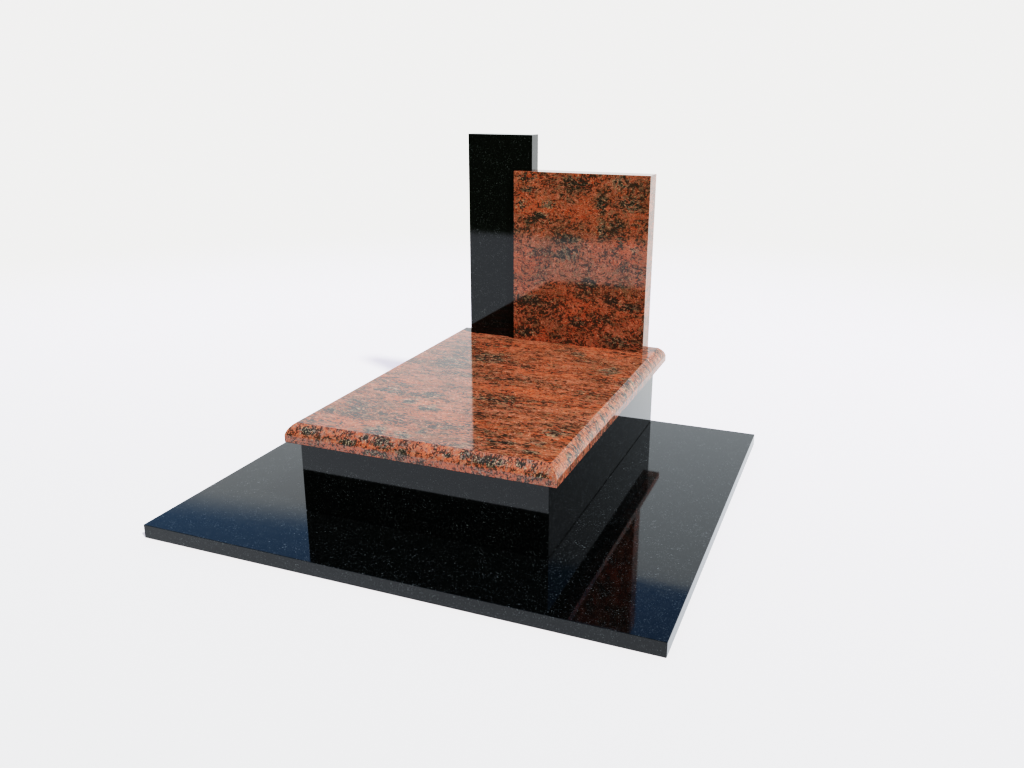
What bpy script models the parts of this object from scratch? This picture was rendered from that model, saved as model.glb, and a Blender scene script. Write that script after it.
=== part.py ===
"""Urn grave monument: a base slab, a hollow plinth of four mitred kerbs, a cover slab and two steles.

Metres, +Z up. The origin is the centre of the base slab's underside. +X is the visitor's right, the
visitor stands at -Y, and every stone rests on the one below it.
"""
import math

import bmesh
import bpy
from mathutils import Matrix, Vector

# Base slab.
BASE_WIDTH = 1.10
BASE_DEPTH = 1.00
BASE_THICKNESS = 0.030

# Plinth: the outside of the frame that the four kerbs make.
PLINTH_WIDTH = 0.551
PLINTH_DEPTH = 0.809
PLINTH_HEIGHT = 0.162
KERB_THICKNESS = 0.040
PLINTH_BACK_MARGIN = 0.008

# Cover slab: its overhangs past the plinth, and the convex profile worked on its upper edge.
COVER_THICKNESS = 0.040
COVER_SIDE_OVERHANG = 0.023
COVER_FRONT_OVERHANG = 0.023
COVER_BACK_OVERHANG = 0.038
PROFILE_INSET = 0.019
PROFILE_RISE = 0.024
PROFILE_BULGE = 0.003
PROFILE_STEPS = 12

# Red headstone, placed from the cover's right edge and from the back of its flat top.
HEADSTONE_WIDTH = 0.363
HEADSTONE_HEIGHT = 0.450
HEADSTONE_THICKNESS = 0.060
HEADSTONE_SIDE_MARGIN = 0.0445
HEADSTONE_BACK_MARGIN = 0.001

# Black stele, which stands in a rebate behind the headstone's left edge, with its back flush.
STELE_WIDTH = 0.180
STELE_HEIGHT = 0.540
STELE_THICKNESS = 0.045
STELE_LAP = 0.045

# Chamfer on the sawn edges of the slabs and steles.
ARRIS = 0.001

# Joint left between two stones that touch.
JOINT = 0.0003

# Levels at which the stones rest.
PLINTH_BOTTOM = BASE_THICKNESS + JOINT
COVER_BOTTOM = PLINTH_BOTTOM + PLINTH_HEIGHT + JOINT
COVER_TOP = COVER_BOTTOM + COVER_THICKNESS
STELE_BOTTOM = COVER_TOP + JOINT

# Outlines in plan.
PLINTH_BACK = BASE_DEPTH / 2 - PLINTH_BACK_MARGIN
PLINTH_CENTRE = PLINTH_BACK - PLINTH_DEPTH / 2
COVER_RIGHT = PLINTH_WIDTH / 2 + COVER_SIDE_OVERHANG
COVER_BACK = PLINTH_BACK + COVER_BACK_OVERHANG
COVER_FRONT = PLINTH_BACK - PLINTH_DEPTH - COVER_FRONT_OVERHANG
STELES_BACK = COVER_BACK - PROFILE_INSET - HEADSTONE_BACK_MARGIN
HEADSTONE_RIGHT = COVER_RIGHT - HEADSTONE_SIDE_MARGIN
HEADSTONE_LEFT = HEADSTONE_RIGHT - HEADSTONE_WIDTH
STELE_RIGHT = HEADSTONE_LEFT + STELE_LAP


def clear_scene():
    """Removes the objects that the new file comes with."""
    for thing in list(bpy.data.objects):
        bpy.data.objects.remove(thing, do_unlink=True)


def new_collection(name):
    group = bpy.data.collections.new(name)
    bpy.context.scene.collection.children.link(group)
    return group


def granite(name, colour, roughness):
    """A polished stone: one colour and one roughness, no metal."""
    material = bpy.data.materials.new(name)
    material.use_nodes = True
    shader = material.node_tree.nodes["Principled BSDF"]
    shader.inputs["Base Color"].default_value = (*colour, 1.0)
    shader.inputs["Roughness"].default_value = roughness
    shader.inputs["Metallic"].default_value = 0.0
    return material


def add_stone(name, bm, group, material):
    """Makes an object of a finished mesh."""
    mesh = bpy.data.meshes.new(name)
    bmesh.ops.recalc_face_normals(bm, faces=bm.faces)
    bm.to_mesh(mesh)
    bm.free()
    stone = bpy.data.objects.new(name, mesh)
    stone.data.materials.append(material)
    group.objects.link(stone)
    return stone


def block(low, high):
    """A mesh of a sawn block between two corners."""
    bm = bmesh.new()
    size = [b - a for a, b in zip(low, high)]
    centre = [(a + b) / 2 for a, b in zip(low, high)]
    bmesh.ops.create_cube(bm, size=1.0, matrix=Matrix.Translation(centre) @ Matrix.Diagonal((*size, 1.0)))
    return bm


def chamfer_arrises(stone):
    """Takes the sharpness off the sawn edges."""
    bevel = stone.modifiers.new("arris", 'BEVEL')
    bevel.width = ARRIS
    bevel.segments = 1
    bevel.limit_method = 'ANGLE'
    return bevel


def base_slab(group, material):
    low = (-BASE_WIDTH / 2, -BASE_DEPTH / 2, 0.0)
    high = (BASE_WIDTH / 2, BASE_DEPTH / 2, BASE_THICKNESS)
    chamfer_arrises(add_stone("base_slab", block(low, high), group, material))


def kerb(name, length, turn, face_distance, group, material):
    """One side of the plinth: a panel with its outer face at -Y before the turn, mitred at both ends."""
    outer = -face_distance
    bm = block((-length / 2, outer, 0.0), (length / 2, outer + KERB_THICKNESS, PLINTH_HEIGHT))
    for end in (-1, 1):
        normal = Vector((end, 1.0, 0.0)).normalized()
        corner = Vector((end * length / 2, outer, 0.0))
        cut = bmesh.ops.bisect_plane(
            bm, geom=bm.verts[:] + bm.edges[:] + bm.faces[:],
            plane_co=corner - normal * JOINT / 2, plane_no=normal, clear_outer=True)
        rim = [item for item in cut["geom_cut"] if isinstance(item, bmesh.types.BMEdge)]
        bmesh.ops.holes_fill(bm, edges=rim)
    panel = add_stone(name, bm, group, material)
    panel.location = (0.0, PLINTH_CENTRE, PLINTH_BOTTOM)
    panel.rotation_euler = (0.0, 0.0, math.radians(turn))


def plinth(group, material):
    """Four kerbs closed round the empty urn chamber."""
    kerb("plinth_front", PLINTH_WIDTH, 0, PLINTH_DEPTH / 2, group, material)
    kerb("plinth_right", PLINTH_DEPTH, 90, PLINTH_WIDTH / 2, group, material)
    kerb("plinth_back", PLINTH_WIDTH, 180, PLINTH_DEPTH / 2, group, material)
    kerb("plinth_left", PLINTH_DEPTH, 270, PLINTH_WIDTH / 2, group, material)


def profile_points():
    """The convex edge in section: inset and rise from the lower arris, along a flat circular arc."""
    chord = Vector((PROFILE_INSET, PROFILE_RISE))
    along = chord.normalized()
    outward = Vector((-along.y, along.x))
    radius = ((chord.length / 2) ** 2 + PROFILE_BULGE ** 2) / (2 * PROFILE_BULGE)
    half_angle = math.asin(chord.length / 2 / radius)
    points = []
    for step in range(PROFILE_STEPS + 1):
        angle = half_angle * (2 * step / PROFILE_STEPS - 1)
        lift = radius * (math.cos(angle) - math.cos(half_angle))
        points.append(chord / 2 + along * radius * math.sin(angle) + outward * lift)
    return points


def cover_slab(group, material):
    """The lid: a block as high as its plain edge, then the profile worked up to the flat top."""
    plain_edge = COVER_THICKNESS - PROFILE_RISE
    bm = block((-COVER_RIGHT, COVER_FRONT, COVER_BOTTOM),
               (COVER_RIGHT, COVER_BACK, COVER_BOTTOM + plain_edge))
    top = max(bm.faces, key=lambda face: face.calc_center_median().z)
    points = profile_points()
    for before, after in zip(points, points[1:]):
        bmesh.ops.inset_region(bm, faces=[top], thickness=after.x - before.x,
                               depth=after.y - before.y, use_even_offset=True)
    add_stone("cover_slab", bm, group, material)


def black_stele(group, material):
    low = (STELE_RIGHT - STELE_WIDTH, STELES_BACK - STELE_THICKNESS, STELE_BOTTOM)
    high = (STELE_RIGHT, STELES_BACK, STELE_BOTTOM + STELE_HEIGHT)
    chamfer_arrises(add_stone("stele", block(low, high), group, material))


def headstone(group, cutters, material):
    """The red stele, with the rebate that lets the black one stand behind its left edge."""
    low = (HEADSTONE_LEFT, STELES_BACK - HEADSTONE_THICKNESS, STELE_BOTTOM)
    high = (HEADSTONE_RIGHT, STELES_BACK, STELE_BOTTOM + HEADSTONE_HEIGHT)
    stone = add_stone("headstone", block(low, high), group, material)

    # The cutter runs past the stone on every side that the rebate is open to.
    past = HEADSTONE_THICKNESS
    rebate_low = (low[0] - past, STELES_BACK - STELE_THICKNESS - JOINT, low[2] - past)
    rebate_high = (STELE_RIGHT + JOINT, STELES_BACK + past, high[2] + past)
    cutter = add_stone("rebate_cutter", block(rebate_low, rebate_high), cutters, material)
    cutter.hide_render = True
    cutter.display_type = 'WIRE'
    rebate = stone.modifiers.new("rebate", 'BOOLEAN')
    rebate.operation = 'DIFFERENCE'
    rebate.solver = 'EXACT'
    rebate.object = cutter
    chamfer_arrises(stone)


def build():
    clear_scene()
    monument = new_collection("urn_grave_monument")
    cutters = new_collection("cutters")
    black = granite("black_granite", (0.012, 0.013, 0.015), 0.10)
    red = granite("red_granite", (0.42, 0.115, 0.055), 0.12)
    base_slab(monument, black)
    plinth(monument, black)
    cover_slab(monument, red)
    headstone(monument, cutters, red)
    black_stele(monument, black)


build()
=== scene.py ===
"""Looks of the urn grave monument: polished black and red granite in a plain white studio."""

from math import cos, radians, sin

import bpy
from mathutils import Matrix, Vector


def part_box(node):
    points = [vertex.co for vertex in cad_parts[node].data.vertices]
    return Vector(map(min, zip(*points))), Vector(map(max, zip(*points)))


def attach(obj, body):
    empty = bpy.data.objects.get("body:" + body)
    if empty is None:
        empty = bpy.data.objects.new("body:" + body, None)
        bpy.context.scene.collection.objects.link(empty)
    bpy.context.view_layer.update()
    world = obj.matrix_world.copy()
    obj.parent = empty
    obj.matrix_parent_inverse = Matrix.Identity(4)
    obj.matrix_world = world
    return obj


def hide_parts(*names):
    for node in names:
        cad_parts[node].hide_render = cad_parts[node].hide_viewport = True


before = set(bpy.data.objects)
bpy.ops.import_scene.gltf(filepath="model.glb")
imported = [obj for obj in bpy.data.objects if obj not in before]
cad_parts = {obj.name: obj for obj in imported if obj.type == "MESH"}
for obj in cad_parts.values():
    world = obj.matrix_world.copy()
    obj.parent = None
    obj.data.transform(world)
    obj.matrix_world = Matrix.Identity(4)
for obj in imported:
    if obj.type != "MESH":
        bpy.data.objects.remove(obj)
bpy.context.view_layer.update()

# Camera, worked out from the photograph's edges: metres, degrees, and pixels of a 1024 wide picture
CAMERA_PLACE = (0.7936, -1.7660, 0.8945)
CAMERA_TURN = 22.26
CAMERA_DIP = 18.357
FOCAL_PIXELS = 901.27
PICTURE_WIDTH = 1024
SENSOR_WIDTH = 36.0

# Stone sizes that the frame's boxes do not give, in metres. A face looks along an axis where its normal
# has at least the facing's share of it.
ARRIS = 0.0009
ARRIS_STEPS = 4
SHARP_ANGLE = radians(13)
SMOOTH_ANGLE = radians(40)
BROAD_FACE = 0.005
BLOCK_FACING = 0.6
COVER_TOP_FACING = 0.95
KERB_THICKNESS = 0.040
JOINT_HEIGHT = 0.0008
JOINT_DEPTH = 0.0012
PROFILE_INSET = 0.019
PROFILE_RISE = 0.024
PROFILE_BULGE = 0.003
PROFILE_STEPS = 28
REBATE_CLEARANCE = 0.0003
CUTTER_MARGIN = 0.010

# How bright a white card would look lying flat, and the film that shows the light
LIGHT_ON_TOP = 1.42
FILM_CURVE = (2.51, 0.03, 2.43, 0.59, 0.14)
FILM_RANGE = 2.0
FILM_POINTS = 40
FILM_CROWDING = 2.5
FILM_ALL_COLOURS = 3

# Grain of the red granite: u runs along its streaks, and is this much shorter in the pattern, which
# draws the crystals out. A seed takes each stone from its own part of the pattern. The pattern is a
# little finer on the cover's front and back edges, whose v alone lies between EDGES_FROM and EDGES_TO.
# Those front and back edges also get a painted pale sheen, standing in for their reflection.
STREAK = 0.40
HEADSTONE_STREAK = 0.75
HEADSTONE_SEED = 11.0
COVER_SEED = 15.0
EDGE_FINENESS = 1.1
FRONT_EDGE_SEED = 7.0
BACK_EDGE_SEED = 5.0
EDGES_FROM = 4.0
EDGES_TO = 9.0
SEED_MARGIN = 1.0
SEED_SPREAD = (1.0, 0.37, 0.61)

# Where the stele and the first kerb lie in the black granite's pattern, and how far apart the kerbs are
STELE_SEED = 3.0
KERB_SEED = 20.0
KERB_SEED_STEP = 2.0

# How far the crystals sway out of line, along and across the streaks, and how far the streaks bend
SWAY_ALONG = 0.014
SWAY_ACROSS = 0.018
STREAK_BEND = 0.050

# Heights over the ground on the headstone: it is darkest up to the first and cleanest from the last
DARK_FOOT = 0.30
MIDDLE = 0.52
CLEAN_TOP = 0.60

# Colours of the red granite as they look lying flat in the studio's light, 0 to 255
DEEP_RED = (154, 74, 38)
BRICK_RED = (193, 106, 68)
ORANGE = (210, 119, 62)
CLEAN_ORANGE = (216, 102, 42)
SALMON = (224, 168, 138)
# Painted sheen, not a stone colour: the cover's front and back faces are paled towards this pink
PAINTED_SHEEN_PINK = (232, 172, 146)
OLIVE = (140, 120, 86)
KNOT_OLIVE = (120, 116, 92)
EDGE_GREY = (140, 142, 134)
CREAM = (222, 204, 172)
VEIN_CREAM = (232, 204, 184)
EDGE_CREAM = (214, 204, 182)
BROWN_BLACK = (56, 40, 26)
KNOT_BLACK = (30, 31, 27)

# Colours of the black granite, as the share of light that it sends back
GABBRO_DARK = (0.0008, 0.0013, 0.0013, 1.0)
GABBRO_PALE = (0.0026, 0.0032, 0.0030, 1.0)
HAIR_GREY = (0.086, 0.095, 0.097, 1.0)
SPECK_GREY = (0.084, 0.090, 0.096, 1.0)

# How far the crystals of a polished face stand out, in metres
RED_RELIEF = 0.000010
BLACK_RELIEF = 0.000012

# Knots, where black, grey and cream crystals crowd together: place on the face, then half their size.
# The headstone's and the front edge's are given in x and z, the cover's in x and y. Past the cover's
# right edge, x goes on down its moulded side.
HEADSTONE_KNOTS = [
    (0.180, 0.664, 0.024, 0.017), (0.207, 0.612, 0.028, 0.020), (0.173, 0.555, 0.017, 0.016),
    (0.131, 0.609, 0.014, 0.024), (0.134, 0.542, 0.013, 0.025), (0.041, 0.515, 0.032, 0.010),
    (0.184, 0.522, 0.011, 0.018), (0.221, 0.496, 0.010, 0.009), (-0.014, 0.601, 0.018, 0.009),
    (0.064, 0.662, 0.036, 0.014), (0.039, 0.475, 0.030, 0.018), (0.098, 0.402, 0.026, 0.013),
    (0.180, 0.402, 0.024, 0.007), (0.168, 0.361, 0.018, 0.009), (0.212, 0.346, 0.026, 0.010),
    (-0.064, 0.345, 0.034, 0.014), (0.074, 0.297, 0.022, 0.011), (-0.068, 0.256, 0.032, 0.012),
    (0.186, 0.254, 0.036, 0.013), (-0.070, 0.669, 0.028, 0.009), (-0.071, 0.638, 0.024, 0.009),
    (-0.088, 0.597, 0.014, 0.014), (-0.035, 0.571, 0.024, 0.009)]
COVER_KNOTS = [
    (-0.160, 0.189, 0.044, 0.050), (-0.205, -0.063, 0.030, 0.022), (-0.122, -0.114, 0.018, 0.018),
    (-0.067, -0.137, 0.025, 0.018), (-0.098, -0.053, 0.026, 0.012), (-0.207, -0.201, 0.017, 0.018),
    (-0.258, -0.229, 0.014, 0.010), (-0.103, -0.296, 0.022, 0.022), (-0.043, -0.299, 0.018, 0.020),
    (-0.016, -0.267, 0.012, 0.014), (-0.093, 0.254, 0.046, 0.036), (0.104, 0.369, 0.018, 0.020),
    (0.222, 0.264, 0.022, 0.036), (0.282, 0.188, 0.022, 0.034), (0.054, -0.038, 0.056, 0.010),
    (0.234, -0.174, 0.026, 0.024), (0.148, -0.258, 0.052, 0.009), (0.223, -0.241, 0.018, 0.012),
    (0.225, -0.287, 0.016, 0.008), (0.008, -0.236, 0.022, 0.010), (0.293, 0.219, 0.026, 0.013),
    (0.301, 0.283, 0.020, 0.012), (0.303, 0.139, 0.020, 0.012), (0.298, 0.037, 0.018, 0.009),
    (0.300, -0.028, 0.020, 0.012), (0.302, -0.118, 0.018, 0.009), (0.300, -0.170, 0.018, 0.007),
    (0.302, -0.214, 0.022, 0.009), (0.312, -0.253, 0.018, 0.010)]
FRONT_EDGE_KNOTS = [
    (-0.242, 0.222, 0.019, 0.007), (-0.147, 0.213, 0.021, 0.006), (-0.112, 0.226, 0.010, 0.004),
    (-0.070, 0.222, 0.019, 0.008), (-0.020, 0.212, 0.009, 0.005), (0.073, 0.221, 0.010, 0.004),
    (0.110, 0.225, 0.010, 0.006), (-0.081, 0.201, 0.025, 0.006), (0.160, 0.220, 0.030, 0.008),
    (0.224, 0.224, 0.008, 0.005), (0.268, 0.212, 0.009, 0.005)]

# Studio floor: lengths and places in metres, light where 1 is white. A span is the stretch of y, or for
# the fade of distance, over which one thing turns into the other.
FLOOR_REACH = 12.0
FLOOR_DROP = 0.0005
FLOOR_FRONT = -2.57
FLOOR_FRONT_BLUR = 0.10
FLOOR_FADE = (4.0, 9.0)
FLOOR_FADE_SOONER = 1.22
FLOOR_WHITE = (0.80, 0.80, 0.80, 1.0)
FLOOR_GLOW_BACK = (0.70, 0.60, 0.78, 1.0)
FLOOR_GLOW_FRONT = (0.24, 0.21, 0.15, 1.0)
FLOOR_GLOW_SPAN = (-1.8, 1.8)
MIRRORED_NEAR = (0.93, 0.98, 1.05, 1.0)
MIRRORED_FAR = (1.12, 1.14, 1.14, 1.0)
MIRRORED_SPAN = (0.2, 1.2)
FLOOR_BOUNCE = 0.6

# Studio room, as the polished stones mirror it: the wall's top rises by its ratio for each metre back
BACKGROUND = (1.46, 1.44, 1.40, 1.0)
WALL_RATIO = 0.60
WALL_RATIO_LEFT = 0.028
WALL_BLUR = 0.006
WALL_BLUR_LEFT = 0.020
WALL_LOW = (1.20, 1.24, 1.24, 1.0)
WALL_HIGH_LEFT = (0.80, 0.85, 0.88, 1.0)
WALL_HIGH_MIDDLE = (0.80, 0.86, 0.90, 1.0)
WALL_HIGH_RIGHT = (0.62, 0.66, 0.70, 1.0)
CEILING_LOW = (0.22, 0.37, 0.58, 1.0)
CEILING_HIGH = (0.14, 0.24, 0.42, 1.0)
ROOM_LOW = (0.08, 0.11, 0.05, 1.0)
ROOM_HIGH = (0.30, 0.34, 0.40, 1.0)

# Studio lamp: degrees, measured clockwise from the back, and over the floor
KEY_AZIMUTH = 120.0
KEY_HEIGHT = 50.0
KEY_STRENGTH = 4.2
KEY_SOFTNESS = 4.5


class Wire:
    """A node's output that can stand in a Python sum: each operator adds its Math node."""

    def __init__(self, nodes, socket):
        self.nodes = nodes
        self.socket = socket

    def maths(self, operation, *terms):
        return self.nodes.add("ShaderNodeMath", {"operation": operation}, dict(enumerate(terms)))

    def __add__(self, other):
        return self.maths("ADD", self, other)

    def __radd__(self, other):
        return self.maths("ADD", other, self)

    def __sub__(self, other):
        return self.maths("SUBTRACT", self, other)

    def __rsub__(self, other):
        return self.maths("SUBTRACT", other, self)

    def __mul__(self, other):
        return self.maths("MULTIPLY", self, other)

    def __rmul__(self, other):
        return self.maths("MULTIPLY", other, self)

    def __truediv__(self, other):
        return self.maths("DIVIDE", self, other)

    def __rtruediv__(self, other):
        return self.maths("DIVIDE", other, self)

    def __gt__(self, other):
        return self.maths("GREATER_THAN", self, other)

    def __lt__(self, other):
        return self.maths("LESS_THAN", self, other)

    def __abs__(self):
        return self.maths("ABSOLUTE", self)

    def larger(self, other):
        return self.maths("MAXIMUM", self, other)

    def smaller(self, other):
        return self.maths("MINIMUM", self, other)

    def root(self):
        return self.maths("SQRT", self)


class Nodes:
    """A node tree that is being built, for a material, the world or a shape."""

    def __init__(self, tree):
        self.tree = tree

    def add(self, kind, settings=None, values=None, output=0):
        """Adds one node: its settings first, then the values or links of its sockets."""
        node = self.tree.nodes.new(kind)
        for name, value in (settings or {}).items():
            setattr(node, name, value)
        for key, value in (values or {}).items():
            socket = node.inputs[key]
            if isinstance(value, Wire):
                self.tree.links.new(value.socket, socket)
            else:
                socket.default_value = value
        return Wire(self, node.outputs[output]) if node.outputs else None

    def mix(self, factor, first, second):
        """Blends two colours, which are the Mix node's sockets 6 and 7 and its output 2."""
        return self.add("ShaderNodeMix", {"data_type": "RGBA"}, {0: factor, 6: first, 7: second}, 2)

    def blend(self, factor, first, second):
        """Blends two numbers, which are the Mix node's sockets 2 and 3."""
        return self.add("ShaderNodeMix", {"data_type": "FLOAT"}, {0: factor, 2: first, 3: second})

    def vector(self, operation, first, second=(0.0, 0.0, 0.0)):
        return self.add("ShaderNodeVectorMath", {"operation": operation}, {0: first, 1: second})

    def length(self, vector):
        return self.add("ShaderNodeVectorMath", {"operation": "LENGTH"}, {0: vector}, "Value")

    def combine(self, x=0.0, y=0.0, z=0.0):
        return self.add("ShaderNodeCombineXYZ", None, {0: x, 1: y, 2: z})

    def separate(self, vector):
        first = self.add("ShaderNodeSeparateXYZ", None, {0: vector})
        return [Wire(self, socket) for socket in first.socket.node.outputs]

    def step(self, value, low, high):
        """Rises smoothly from 0 at low to 1 at high, or falls where low is the larger."""
        if low > high:
            return 1.0 - self.step(value, high, low)
        return self.add("ShaderNodeMapRange", {"interpolation_type": "SMOOTHSTEP"},
                        {"Value": value, "From Min": low, "From Max": high})

    def noise(self, place, per_metre, detail=2.0, roughness=0.5, seed=0.0):
        """Soft noise around 0.5, of so many grains to the metre."""
        moved = self.vector("ADD", place, [seed * share for share in SEED_SPREAD])
        return self.add("ShaderNodeTexNoise", {"noise_dimensions": "3D"},
                        {"Vector": moved, "Scale": per_metre, "Detail": detail, "Roughness": roughness})


def film(light):
    """How bright the picture shows a light: a soft toe for the dark stone and a soft shoulder."""
    a, b, c, d, e = FILM_CURVE
    return light * (a * light + b) / (light * (c * light + d) + e)


def unfilm(shown):
    """The light that the film shows at this brightness: the film's curve solved as a quadratic."""
    a, b, c, d, e = FILM_CURVE
    squared, single, alone = a - c * shown, b - d * shown, -e * shown
    return (-single + (single * single - 4 * squared * alone) ** 0.5) / (2 * squared)


def shade(seen):
    """The stone colour that looks like this, in 0 to 255 values, lying flat in the studio's light."""
    def sent_back(value):
        value = value / 255
        linear = value / 12.92 if value <= 0.04045 else ((value + 0.055) / 1.055) ** 2.4
        return unfilm(linear) / LIGHT_ON_TOP
    return (*map(sent_back, seen), 1.0)


def new_material(name):
    material = bpy.data.materials.new(name)
    material.use_nodes = True
    material.node_tree.nodes.clear()
    return material, Nodes(material.node_tree)


def polish(nodes, colour, roughness, height, relief):
    """Ends a stone's material: a polished face with the faint relief of its crystals."""
    normal = nodes.add("ShaderNodeBump", None, {"Strength": 1.0, "Distance": relief, "Height": height})
    shader = nodes.add("ShaderNodeBsdfPrincipled", None,
                       {"Base Color": colour, "Roughness": roughness, "Normal": normal, "IOR": 1.5})
    nodes.add("ShaderNodeOutputMaterial", None, {"Surface": shader})


# Finishes

def knots_in_grain():
    """Every knot as its place and half size in the red granite's pattern."""
    for x, z, along, across in HEADSTONE_KNOTS:
        yield (x * HEADSTONE_STREAK + HEADSTONE_SEED * STREAK, z + HEADSTONE_SEED,
               along * HEADSTONE_STREAK, across)
    for x, y, along, across in COVER_KNOTS:
        yield (x + COVER_SEED) * STREAK, y, along * STREAK, across
    for x, z, along, across in FRONT_EDGE_KNOTS:
        yield (x * EDGE_FINENESS + COVER_SEED * STREAK, z * EDGE_FINENESS + FRONT_EDGE_SEED,
               along * EDGE_FINENESS, across * EDGE_FINENESS)


def near_knots(nodes, place):
    """How far a point lies from the nearest knot, where 1 is the knot's own edge."""
    nearest = None
    for u, v, along, across in knots_in_grain():
        offset = nodes.vector("SUBTRACT", place, (u, v, 0.0))
        away = nodes.length(nodes.vector("MULTIPLY", offset, (1 / along, 1 / across, 0.0)))
        nearest = nearest.smaller(away) if nearest else away
    return nearest


def red_granite():
    """Orange-red feldspar with brown grains, and knots of black, olive grey and cream crystals."""
    material, nodes = new_material("red_granite")
    laid = nodes.add("ShaderNodeUVMap", {"uv_map": "grain"})
    v = nodes.separate(laid)[1]

    # The cover's front and back edges are cut across the streaks, where the crystals show round and calm.
    # The same mask also lays a painted sheen on these faces.
    ends = nodes.step(v, EDGES_FROM - SEED_MARGIN, EDGES_FROM)
    ends = ends * nodes.step(v, EDGES_TO + SEED_MARGIN, EDGES_TO)
    calm = 1.0 - 0.5 * ends
    flat = nodes.vector("MULTIPLY", laid, (STREAK, 1.0, 0.0))
    sway = nodes.add("ShaderNodeTexNoise", None, {"Vector": flat, "Scale": 40.0, "Detail": 4.0}, "Color")
    sway = nodes.vector("SUBTRACT", sway, (0.5, 0.5, 0.5))
    sway = nodes.vector("MULTIPLY", sway, nodes.combine(calm, calm, calm))
    swayed = nodes.vector("ADD", flat, nodes.vector("MULTIPLY", sway, (SWAY_ALONG, SWAY_ACROSS, 0.0)))
    bend = nodes.noise(flat, per_metre=9.0, detail=1.0, seed=6.6) - 0.5
    place = nodes.vector("ADD", swayed, nodes.combine(0.0, bend * STREAK_BEND, 0.0))

    wide = nodes.noise(place, per_metre=10.0, detail=2.0, seed=8.2)
    cloud = nodes.noise(place, per_metre=18.0, detail=4.0, roughness=0.62, seed=3.1)
    broad = nodes.noise(place, per_metre=26.0, detail=3.0, roughness=0.60, seed=2.3)
    medium = nodes.noise(place, per_metre=105.0, detail=2.0, roughness=0.55, seed=1.3)
    other = nodes.noise(place, per_metre=150.0, detail=2.0, roughness=0.60, seed=4.4)
    fine = nodes.noise(place, per_metre=235.0, detail=2.0, roughness=0.60, seed=5.7)
    sparse = nodes.noise(place, per_metre=330.0, detail=1.0, seed=9.4)
    grit = nodes.noise(place, per_metre=430.0, detail=1.0, seed=7.9)
    knot = nodes.step(near_knots(nodes, swayed), 1.7, 0.5)
    crowd = knot.larger(nodes.step(cloud, 0.46, 0.68) * 0.6)

    # Feldspar, from deep red to salmon, with pure orange in places; on the cover's ends a painted sheen
    # pales it towards pink
    body = nodes.mix(nodes.step(broad, 0.38, 0.60), shade(DEEP_RED), shade(BRICK_RED))
    body = nodes.mix(nodes.step(medium, 0.46, 0.62) * 0.7, body, shade(ORANGE))
    body = nodes.mix(nodes.step(fine, 0.48, 0.64) * 0.6, body, shade(SALMON))
    body = nodes.mix(nodes.step(wide, 0.46, 0.62) * 0.45, body, shade(CLEAN_ORANGE))
    # Painted sheen on the cover's front and back faces, standing in for their pale reflection
    body = nodes.mix(ends * 0.16, body, shade(PAINTED_SHEEN_PINK))

    # Olive grey grains, few in the clean feldspar and most of the stone in the knots
    olive = nodes.step(other + crowd * 0.11, 0.535, 0.60)
    grey = nodes.mix(crowd, shade(OLIVE), shade(KNOT_OLIVE))
    grey = nodes.mix(ends, grey, shade(EDGE_GREY))
    body = nodes.mix(olive * (0.50 + 0.35 * crowd), body, grey)

    # Cream sparks, and cream veins round the olive grains
    spark = nodes.step(sparse, 0.58, 0.68)
    vein = nodes.step(abs(other - 0.47), 0.030, 0.006) * nodes.step(grit, 0.44, 0.56)
    body = nodes.mix(spark * (0.20 + 0.45 * crowd + 0.15 * ends), body, shade(CREAM))
    body = nodes.mix(vein * (0.60 - 0.40 * ends), body, shade(VEIN_CREAM))

    # Dark grains, more of them in the knots and towards the headstone's foot
    foot = nodes.step(v, HEADSTONE_SEED - SEED_MARGIN, HEADSTONE_SEED - SEED_MARGIN / 2)
    foot = foot * nodes.step(v, HEADSTONE_SEED + MIDDLE, HEADSTONE_SEED + DARK_FOOT)
    top = nodes.step(v, HEADSTONE_SEED + MIDDLE, HEADSTONE_SEED + CLEAN_TOP)
    grains = fine * 0.46 + medium * 0.34 + grit * 0.20 + (cloud - 0.5) * (0.22 - 0.12 * ends)
    grains = grains + foot * 0.013 - top * 0.004
    dark = nodes.step(grains + knot * (0.032 + 0.038 * ends) + 0.005 * ends, 0.504, 0.544)

    # Thin dark threads that follow the streaks
    thread = nodes.step(abs(medium - 0.5), 0.024, 0.006) * nodes.step(cloud, 0.42, 0.56)
    dark = dark.larger(thread * 0.8)
    black = nodes.mix(crowd.larger(ends * 0.5), shade(BROWN_BLACK), shade(KNOT_BLACK))
    colour = nodes.mix(dark * 0.94, body, black)
    colour = nodes.mix(spark * knot * ends * 0.6, colour, shade(EDGE_CREAM))

    roughness = 0.055 + 0.035 * nodes.step(fine, 0.3, 0.7)
    polish(nodes, colour, roughness, fine, RED_RELIEF)
    return material


def black_granite():
    """Near-black gabbro with fine grey flecks and short curved hairs of feldspar."""
    material, nodes = new_material("black_granite")
    place = nodes.add("ShaderNodeUVMap", {"uv_map": "grain"})
    haze = nodes.noise(place, per_metre=90.0, detail=3.0, roughness=0.6, seed=4.2)
    base = nodes.mix(nodes.step(haze, 0.40, 0.66), GABBRO_DARK, GABBRO_PALE)

    # A hair lies along a thin ridge of the noise, worn away for most of its length
    ridge = abs(nodes.noise(place, per_metre=190.0, detail=1.0, seed=2.7) - 0.5)
    worn = nodes.step(nodes.noise(place, per_metre=260.0, detail=1.0, seed=6.1), 0.555, 0.675)
    gather = nodes.step(nodes.noise(place, per_metre=30.0, detail=2.0, seed=8.8), 0.35, 0.65) * 0.6 + 0.4
    hair = nodes.step(ridge, 0.030, 0.008) * worn * gather
    speck = nodes.step(nodes.noise(place, per_metre=520.0, detail=1.0, seed=1.9), 0.65, 0.78) * gather
    colour = nodes.mix(speck, nodes.mix(hair, base, HAIR_GREY), SPECK_GREY)

    roughness = 0.038 + 0.020 * nodes.step(haze, 0.3, 0.7)
    polish(nodes, colour, roughness, haze, BLACK_RELIEF)
    return material


# Shapes

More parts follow.
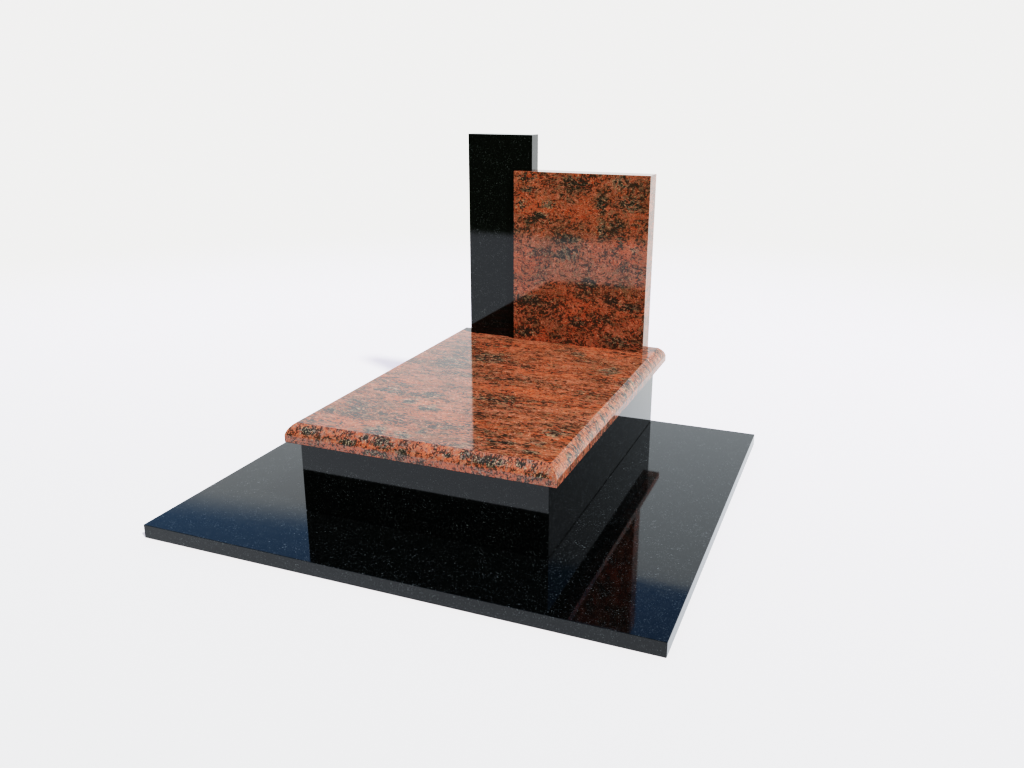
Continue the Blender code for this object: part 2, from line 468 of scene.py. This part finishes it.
BOX_SIZES = [("Low corner", "NodeSocketVector"), ("High corner", "NodeSocketVector"),
             ("Material", "NodeSocketMaterial")]
REBATE_SIZES = [("Rebate low corner", "NodeSocketVector"), ("Rebate high corner", "NodeSocketVector")]
JOINT_SIZES = [("Joint height", "NodeSocketFloat"), ("Joint depth", "NodeSocketFloat")]
PROFILE_SIZES = [("Inset", "NodeSocketFloat"), ("Rise", "NodeSocketFloat"), ("Bulge", "NodeSocketFloat"),
                 ("Steps", "NodeSocketInt")]


def new_shape(name, sizes):
    """Starts a Geometry Nodes tree whose named inputs are sizes in metres, or counts."""
    tree = bpy.data.node_groups.new(name, "GeometryNodeTree")
    for label, kind in sizes:
        tree.interface.new_socket(label, in_out="INPUT", socket_type=kind)
    tree.interface.new_socket("Mesh", in_out="OUTPUT", socket_type="NodeSocketGeometry")
    nodes = Nodes(tree)
    group = tree.nodes.new("NodeGroupInput")
    return tree, nodes, {label: Wire(nodes, group.outputs[label]) for label, _ in sizes}


def end_shape(nodes, mesh, material):
    """Ends a tree with real geometry in one material."""
    real = nodes.add("GeometryNodeRealizeInstances", None, {0: mesh})
    done = nodes.add("GeometryNodeSetMaterial", None, {"Geometry": real, "Material": material})
    output = nodes.tree.nodes.new("NodeGroupOutput")
    nodes.tree.links.new(done.socket, output.inputs[0])


def size_and_middle(nodes, low, high):
    """The size and the middle of the box between two corners."""
    size = nodes.vector("SUBTRACT", high, low)
    middle = nodes.vector("MULTIPLY", nodes.vector("ADD", high, low), (0.5, 0.5, 0.5))
    return size, middle


def moved_to(nodes, mesh, place):
    return nodes.add("GeometryNodeTransform", None, {"Geometry": mesh, "Translation": place})


def sawn_box(nodes, low, high):
    """A plain box between two corners."""
    size, middle = size_and_middle(nodes, low, high)
    return moved_to(nodes, nodes.add("GeometryNodeMeshCube", None, {"Size": size}), middle)


def block_tree():
    """A sawn block between two corners."""
    tree, nodes, given = new_shape("sawn block", BOX_SIZES)
    end_shape(nodes, sawn_box(nodes, given["Low corner"], given["High corner"]), given["Material"])
    return tree


def rebated_tree():
    """A sawn block with a rebate cut out of it."""
    tree, nodes, given = new_shape("rebated block", BOX_SIZES + REBATE_SIZES)
    block = sawn_box(nodes, given["Low corner"], given["High corner"])
    rebate = sawn_box(nodes, given["Rebate low corner"], given["Rebate high corner"])
    cut = nodes.add("GeometryNodeMeshBoolean", {"operation": "DIFFERENCE", "solver": "EXACT"},
                    {"Mesh 1": block, "Mesh 2": rebate})
    end_shape(nodes, cut, given["Material"])
    return tree


def kerb_tree():
    """A kerb along X, its outer face at low Y, both ends mitred, with an open joint at its foot."""
    tree, nodes, given = new_shape("mitred kerb", BOX_SIZES + JOINT_SIZES)
    size, middle = size_and_middle(nodes, given["Low corner"], given["High corner"])
    long, thick, high = nodes.separate(size)
    cube = nodes.add("GeometryNodeMeshCube", None, {"Size": (2.0, 2.0, 3.0), "Vertices Z": 4})
    x, y, level = nodes.separate(nodes.add("GeometryNodeInputPosition"))

    # The cube's four levels lie at -1.5, -0.5, 0.5 and 1.5. The outer face is set back at the two lower
    # ones, a slope as high as it is deep leads out to the third, and the fourth is the kerb's top.
    set_back, rise = given["Joint depth"], given["Joint height"]
    depth = y * thick * 0.5 + (level < 0.0) * (y < 0.0) * set_back
    above = (level > 0.0) * set_back + (level > 1.0) * (high - rise - set_back)
    lifted = (level > -1.0) * rise + above - high * 0.5
    mitred = nodes.combine(x * (long * 0.5 - depth - thick * 0.5), depth, lifted)
    cut = nodes.add("GeometryNodeSetPosition", None, {"Geometry": cube, "Position": mitred})
    end_shape(nodes, moved_to(nodes, cut, middle), given["Material"])
    return tree


def cover_tree():
    """A slab whose upper edge is worked to a shallow convex profile, mitred at the corners."""
    tree, nodes, given = new_shape("moulded cover", BOX_SIZES + PROFILE_SIZES)
    size, middle = size_and_middle(nodes, given["Low corner"], given["High corner"])
    wide, deep, high = nodes.separate(size)
    inset, rise, steps = given["Inset"], given["Rise"], given["Steps"]
    cube = nodes.add("GeometryNodeMeshCube", None, {"Size": (2.0, 2.0, 1.0), "Vertices Z": steps + 2.0})
    x, y, z = nodes.separate(nodes.add("GeometryNodeInputPosition"))

    # Level 0 is the underside, level 1 the plain edge's top, and the rest climb the profile: a straight
    # slope that swells outwards, square to itself, most in its middle
    level = (z + 0.5) * (steps + 1.0)
    along = nodes.add("ShaderNodeClamp", None, {"Value": (level - 1.0) / steps})
    swell = 4.0 * along * (1.0 - along) * given["Bulge"]
    slope = (inset * inset + rise * rise).root()
    drawn_in = inset * along - swell * rise / slope
    climb = rise * along + swell * inset / slope
    lifted = (level > 0.5) * (high - rise + climb) - high * 0.5
    shaped = nodes.combine(x * (wide * 0.5 - drawn_in), y * (deep * 0.5 - drawn_in), lifted)
    worked = nodes.add("GeometryNodeSetPosition", None, {"Geometry": cube, "Position": shaped})
    end_shape(nodes, moved_to(nodes, worked, middle), given["Material"])
    return tree


def cut_stone(name, tree, sizes):
    """Makes one stone from a tree and its sizes, eases its arrises and gives it as a plain mesh."""
    stone = bpy.data.objects.new(name + "_stone", bpy.data.meshes.new(name + "_stone"))
    bpy.context.scene.collection.objects.link(stone)
    shape = stone.modifiers.new("shape", "NODES")
    shape.node_group = tree
    inputs = [item for item in tree.interface.items_tree if item.in_out == "INPUT"]
    identifiers = {item.name: item.identifier for item in inputs}
    for label, value in sizes.items():
        shape[identifiers[label]] = value
    ease = stone.modifiers.new("arris", "BEVEL")
    ease.width = ARRIS
    ease.segments = ARRIS_STEPS
    ease.limit_method = "ANGLE"
    ease.angle_limit = SHARP_ANGLE
    evaluated = stone.evaluated_get(bpy.context.evaluated_depsgraph_get())
    mesh = bpy.data.meshes.new_from_object(evaluated)
    mesh.name = stone.name
    stone.modifiers.clear()
    stone.data = mesh
    return stone


def face_width(mesh, face):
    """The narrowest way across a face, near enough for long strips: its area over its longest edge."""
    places = [mesh.vertices[index].co for index in face.vertices]
    longest = max((places[i] - places[i - 1]).length for i in range(len(places)))
    return face.area / longest


def polish_shading(stone):
    """Keeps the broad faces optically flat and turns the light smoothly over arrises and profile."""
    mesh = stone.data
    broad = [face_width(mesh, face) > BROAD_FACE for face in mesh.polygons]
    around = [[] for _ in mesh.vertices]
    for face in mesh.polygons:
        face.use_smooth = True
        for vertex in face.vertices:
            around[vertex].append(face.index)
    normals = [None] * len(mesh.loops)
    for face in mesh.polygons:
        for corner in face.loop_indices:
            near = [mesh.polygons[index] for index in around[mesh.loops[corner].vertex_index]]
            near = [other for other in near if other.normal.angle(face.normal) < SMOOTH_ANGLE]
            flat = [other.normal for other in near if broad[other.index]]
            if broad[face.index]:
                normals[corner] = face.normal.copy()
            elif flat:
                normals[corner] = flat[0].copy()
            else:
                normals[corner] = sum((other.normal * other.area for other in near), Vector()).normalized()
    mesh.normals_split_custom_set(normals)


def lay_grain(stone, rule):
    """Lays the grain's UV map, in metres: rule gives u and v from a corner's place and its face."""
    mesh = stone.data
    layer = mesh.uv_layers.new(name="grain")
    for face in mesh.polygons:
        for corner in face.loop_indices:
            place = mesh.vertices[mesh.loops[corner].vertex_index].co
            layer.data[corner].uv = rule(place, face.normal)


def block_grain(seed, stretch=1.0):
    """Grain for a block: u is stretched, along X on top, front and back and along Y on the sides."""
    def rule(place, normal):
        x, y, z = place
        if abs(normal.z) > BLOCK_FACING:
            return stretch * x + seed, y - seed
        if abs(normal.y) > BLOCK_FACING:
            return stretch * x + seed, z + seed
        return stretch * y + seed, z - seed
    return rule


def cover_grain(top):
    """Grain for the cover: streaks along X on top run on down both sides, and the ends cut across them."""
    def rule(place, normal):
        x, y, z = place
        drop = top - z
        if abs(normal.z) > COVER_TOP_FACING:
            return x + COVER_SEED, y
        if abs(normal.x) > abs(normal.y):
            return (x + drop if normal.x > 0 else x - drop) + COVER_SEED, y
        edge_seed = FRONT_EDGE_SEED if normal.y < 0 else BACK_EDGE_SEED
        return x / STREAK * EDGE_FINENESS + COVER_SEED, z * EDGE_FINENESS + edge_seed
    return rule


def place_stone(stone, node, grain):
    """Lays the stone's grain, polishes it and puts it in place of its CAD node."""
    lay_grain(stone, grain)
    polish_shading(stone)
    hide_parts(node)
    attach(stone, "root")


# Stones

def lay_base_slab(block, black):
    """The base slab, a plain block."""
    low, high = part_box("base_slab")
    slab = cut_stone("base_slab", block, {"Low corner": low, "High corner": high, "Material": black})
    place_stone(slab, "base_slab", block_grain(0.0))


def stand_stele(block, black):
    """The slim stele, a plain block too."""
    low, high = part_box("stele")
    stele = cut_stone("stele", block, {"Low corner": low, "High corner": high, "Material": black})
    place_stone(stele, "stele", block_grain(STELE_SEED))


def stand_headstone(red):
    """The headstone, with a rebate behind its left edge that clears the stele."""
    low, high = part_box("headstone")
    stele_low, stele_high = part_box("stele")
    rebate_low = (low[0] - CUTTER_MARGIN, stele_low[1] - REBATE_CLEARANCE, low[2] - CUTTER_MARGIN)
    rebate_high = (stele_high[0] + REBATE_CLEARANCE, high[1] + CUTTER_MARGIN, high[2] + CUTTER_MARGIN)
    headstone = cut_stone("headstone", rebated_tree(), {
        "Low corner": low, "High corner": high, "Material": red,
        "Rebate low corner": rebate_low, "Rebate high corner": rebate_high})
    grain = block_grain(HEADSTONE_SEED, HEADSTONE_STREAK / STREAK)
    place_stone(headstone, "headstone", grain)


def set_kerbs(black):
    """The plinth's four kerbs: each is cut as the front one and turned to its own side."""
    kerb = kerb_tree()
    turns = {"plinth_front": 0, "plinth_back": 180, "plinth_left": 270, "plinth_right": 90}
    for index, (name, turn) in enumerate(turns.items()):
        low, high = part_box(name)
        along_x = turn % 180 == 0
        length = high[0] - low[0] if along_x else high[1] - low[1]
        panel = cut_stone(name, kerb, {
            "Low corner": (-length / 2, -KERB_THICKNESS / 2, low[2]),
            "High corner": (length / 2, KERB_THICKNESS / 2, high[2]),
            "Material": black, "Joint height": JOINT_HEIGHT, "Joint depth": JOINT_DEPTH})
        centre_x, centre_y = (low[0] + high[0]) / 2, (low[1] + high[1]) / 2
        across, along = cos(radians(turn)), sin(radians(turn))
        for vertex in panel.data.vertices:
            x, y, z = vertex.co
            vertex.co = (centre_x + x * across - y * along, centre_y + x * along + y * across, z)
        panel.data.update()
        place_stone(panel, name, block_grain(KERB_SEED + KERB_SEED_STEP * index))


def lay_cover(red):
    """The cover, moulded on all four sides."""
    low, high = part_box("cover_slab")
    cover = cut_stone("cover_slab", cover_tree(), {
        "Low corner": low, "High corner": high, "Material": red, "Inset": PROFILE_INSET,
        "Rise": PROFILE_RISE, "Bulge": PROFILE_BULGE, "Steps": PROFILE_STEPS})
    place_stone(cover, "cover_slab", cover_grain(high[2]))


# Studio

def ray_kinds(nodes, *kinds):
    """Whether the ray that looks is of each kind, 1 or 0."""
    outputs = nodes.add("ShaderNodeLightPath").socket.node.outputs
    return [Wire(nodes, outputs[kind]) for kind in kinds]


def floor_material():
    """White to the camera, with a glow that evens its light, and plain light to the mirroring stones."""
    material, nodes = new_material("floor_white")
    camera, glossy, bounced = ray_kinds(nodes, "Is Camera Ray", "Is Glossy Ray", "Is Diffuse Ray")
    x, y, _ = nodes.separate(nodes.add("ShaderNodeTexCoord", None, None, "Object"))

    glow = nodes.mix(nodes.step(y, *FLOOR_GLOW_SPAN), FLOOR_GLOW_FRONT, FLOOR_GLOW_BACK)
    seen = nodes.add("ShaderNodeAddShader", None, {
        0: nodes.add("ShaderNodeEmission", None, {"Color": glow, "Strength": 1.0}),
        1: nodes.add("ShaderNodeBsdfDiffuse", None, {"Color": FLOOR_WHITE})})
    tint = nodes.mix(nodes.step(y, *MIRRORED_SPAN), MIRRORED_NEAR, MIRRORED_FAR)
    dimmed = nodes.vector("MULTIPLY", tint, (FLOOR_BOUNCE, FLOOR_BOUNCE, FLOOR_BOUNCE))
    tint = nodes.mix(bounced, tint, dimmed)
    mirrored = nodes.add("ShaderNodeEmission", None, {"Color": tint, "Strength": 1.0})
    light = nodes.add("ShaderNodeMixShader", None, {0: camera, 1: mirrored, 2: seen})

    # It fades into the background all round, sooner for the camera, and stones see it end in front
    radius = (x * x + y * y).root()
    away = nodes.step(radius * (1.0 + FLOOR_FADE_SOONER * camera), *FLOOR_FADE)
    in_front = nodes.step(y, FLOOR_FRONT + FLOOR_FRONT_BLUR, FLOOR_FRONT - FLOOR_FRONT_BLUR)
    clear = nodes.add("ShaderNodeBsdfTransparent")
    both = nodes.add("ShaderNodeMixShader", None, {0: away.larger(glossy * in_front), 1: light, 2: clear})
    nodes.add("ShaderNodeOutputMaterial", None, {"Surface": both})
    return material


def studio_floor():
    """A pale floor just under the base slab."""
    mesh = bpy.data.meshes.new("floor")
    reach = FLOOR_REACH
    corners = [(-reach, -reach), (reach, -reach), (reach, reach), (-reach, reach)]
    mesh.from_pydata([(x, y, -FLOOR_DROP) for x, y in corners], [], [(0, 1, 2, 3)])
    mesh.materials.append(floor_material())
    floor = bpy.data.objects.new("floor", mesh)
    bpy.context.scene.collection.objects.link(floor)


def studio_world():
    """A white wall behind the stones, a dark room in front and a dim blue ceiling above them."""
    world = bpy.data.worlds.new("studio")
    bpy.context.scene.world = world
    world.use_nodes = True
    world.node_tree.nodes.clear()
    nodes = Nodes(world.node_tree)
    x, y, z = nodes.separate(nodes.add("ShaderNodeTexCoord"))
    camera = ray_kinds(nodes, "Is Camera Ray")[0]

    # Here x, y and z are the ray's direction. The wall ends higher and softer on the left, and its upper
    # part is dimmer towards the right
    top = (WALL_RATIO + WALL_RATIO_LEFT * nodes.step(x, -0.45, -0.70)) * y
    blur = nodes.blend(nodes.step(x, -0.45, -0.25), WALL_BLUR_LEFT, WALL_BLUR)
    wall = nodes.step((top - z) / blur, -1.0, 1.0)
    high = nodes.mix(nodes.step(x, -0.42, -0.20), WALL_HIGH_LEFT, WALL_HIGH_MIDDLE)
    high = nodes.mix(nodes.step(x, 0.05, 0.30), high, WALL_HIGH_RIGHT)
    wall_light = nodes.mix(nodes.step(z, 0.0, 0.35), WALL_LOW, high)

    ceiling = nodes.mix(nodes.step(z, 0.40, 0.75), CEILING_LOW, CEILING_HIGH)
    room = nodes.mix(nodes.step(z, 0.35, 0.70), ROOM_LOW, ROOM_HIGH)
    dark = nodes.mix(nodes.step(y, -0.15, 0.15), room, ceiling)
    colour = nodes.mix(camera, nodes.mix(wall, dark, wall_light), BACKGROUND)
    background = nodes.add("ShaderNodeBackground", None, {"Color": colour, "Strength": 1.0})
    nodes.add("ShaderNodeOutputWorld", None, {"Surface": background})


def studio_light():
    """One soft lamp, high on the right in front, that casts the faint shadow behind the stones."""
    lamp = bpy.data.lights.new("key", "SUN")
    lamp.energy = KEY_STRENGTH
    lamp.angle = radians(KEY_SOFTNESS)
    key = bpy.data.objects.new("key", lamp)
    bpy.context.scene.collection.objects.link(key)
    azimuth, height = radians(KEY_AZIMUTH), radians(KEY_HEIGHT)
    towards = Vector((sin(azimuth) * cos(height), cos(azimuth) * cos(height), sin(height)))
    key.rotation_euler = towards.to_track_quat("Z", "Y").to_euler()
    key.visible_glossy = False


def studio_camera():
    data = bpy.data.cameras.new("camera")
    data.sensor_width = SENSOR_WIDTH
    data.lens = FOCAL_PIXELS / PICTURE_WIDTH * SENSOR_WIDTH
    camera = bpy.data.objects.new("camera", data)
    bpy.context.scene.collection.objects.link(camera)
    camera.location = CAMERA_PLACE
    camera.rotation_euler = (radians(90 - CAMERA_DIP), 0.0, radians(CAMERA_TURN))
    bpy.context.scene.camera = camera


def studio_film():
    """Shows the light through a film curve, as a camera does, in place of a straight line."""
    view = bpy.context.scene.view_settings
    view.view_transform = "Standard"
    view.use_curve_mapping = True
    mapping = view.curve_mapping
    mapping.clip_max_x = FILM_RANGE
    mapping.use_clip = True
    curve = mapping.curves[FILM_ALL_COLOURS]
    curve.points[0].location = (0.0, 0.0)
    curve.points[-1].location = (FILM_RANGE, film(FILM_RANGE))
    for index in range(1, FILM_POINTS):
        light = FILM_RANGE * (index / FILM_POINTS) ** FILM_CROWDING
        curve.points.new(light, film(light))
    mapping.update()


studio_camera()
studio_film()
studio_world()
studio_light()
studio_floor()

red = red_granite()
black = black_granite()
block = block_tree()
lay_base_slab(block, black)
stand_stele(block, black)
stand_headstone(red)
set_kerbs(black)
lay_cover(red)
